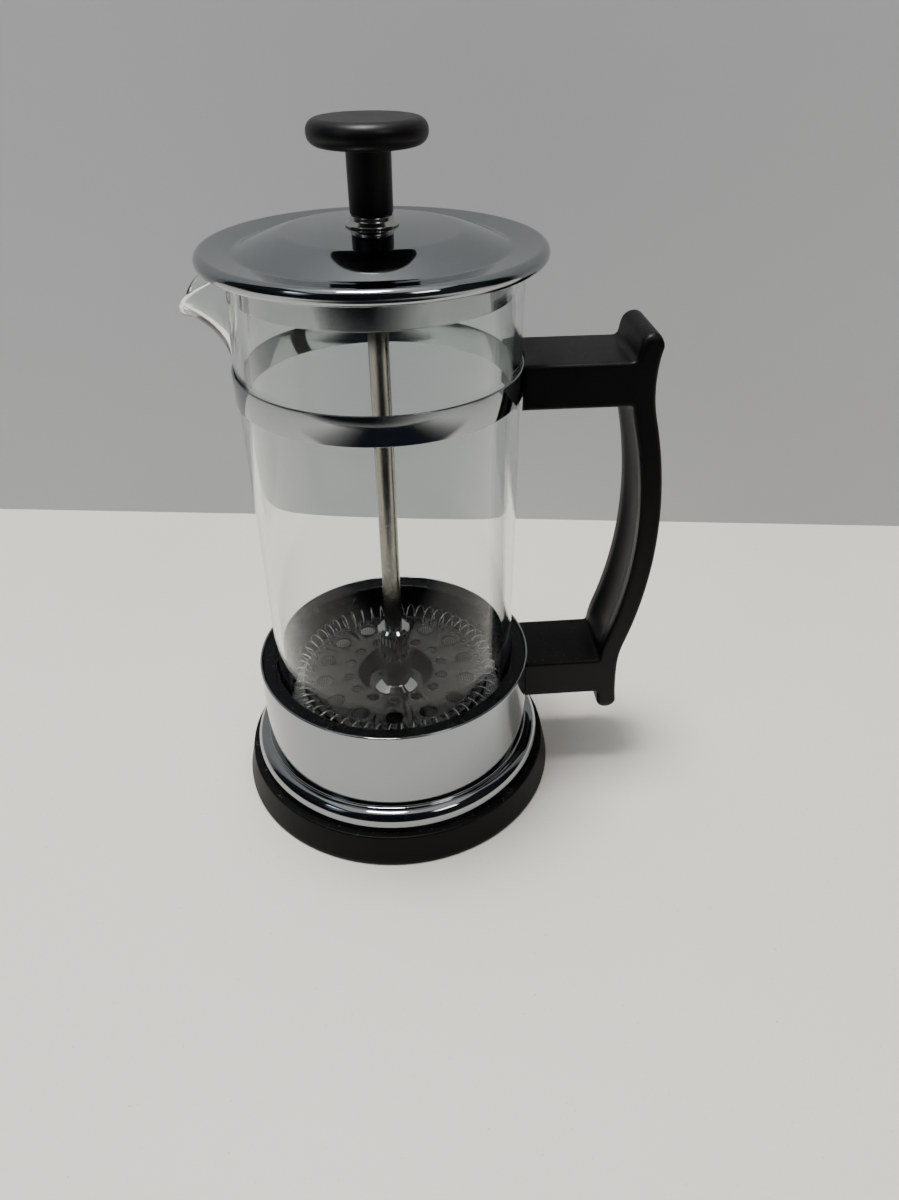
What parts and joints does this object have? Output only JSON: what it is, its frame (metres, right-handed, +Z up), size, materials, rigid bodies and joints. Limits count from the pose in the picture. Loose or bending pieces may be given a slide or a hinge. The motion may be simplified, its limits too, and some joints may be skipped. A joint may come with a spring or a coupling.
{
  "type": "french press",
  "caption": "Glass coffee press with a spouted beaker in a footed metal base, a bowed side handle, a domed lid and a knobbed plunger with a coil-rimmed filter.",
  "frame": {"origin": "centre of the foot's underside, on the beaker's axis", "axes": "+Z up along the beaker's axis, +X towards the handle, -X towards the spout"},
  "size_m": [0.1213, 0.096, 0.1842],
  "materials": {
    "satin_black": "satin moulded",
    "liner_black": "smooth moulded",
    "polished_steel": "mirror polished",
    "drawn_steel": "drawn, satin",
    "woven_steel": "fine woven wire",
    "zinc_steel": "zinc plated",
    "clear_glass": "clear, fire polished",
    "turned_brass": "turned"
  },
  "bodies": {
    "frame": {"foot_ring": "satin_black", "base_shell": "polished_steel", "base_liner": "liner_black", "foot_screws": "zinc_steel", "handle": "satin_black", "strap": "polished_steel", "strap_screw": "zinc_steel", "base_bracket": "zinc_steel", "bracket_screw": "zinc_steel"},
    "beaker": {"glass_beaker": "clear_glass"},
    "lid": {"lid_cover": "polished_steel", "lid_base": "polished_steel", "lid_bushing": "polished_steel", "bushing_nut": "drawn_steel"},
    "plunger": {"knob": "satin_black", "knob_insert": "turned_brass", "plunger_rod": "drawn_steel", "rod_hub": "polished_steel", "spiral_plate": "polished_steel", "filter_coil": "drawn_steel", "filter_mesh": "woven_steel", "cross_plate": "drawn_steel", "filter_nut": "drawn_steel"}
  },
  "joints": [
    {"name": "beaker_lift", "type": "slide", "parent": "frame", "child": "beaker", "axis": [0, 0, 1], "range_m": [0, 0.115]},
    {"name": "lid_lift", "type": "slide", "parent": "beaker", "child": "lid", "axis": [0, 0, 1], "range_m": [0, 0.14]},
    {"name": "plunger_slide", "type": "slide", "parent": "lid", "child": "plunger", "axis": [0, 0, 1], "range_m": [0, 0.105]}
  ]
}
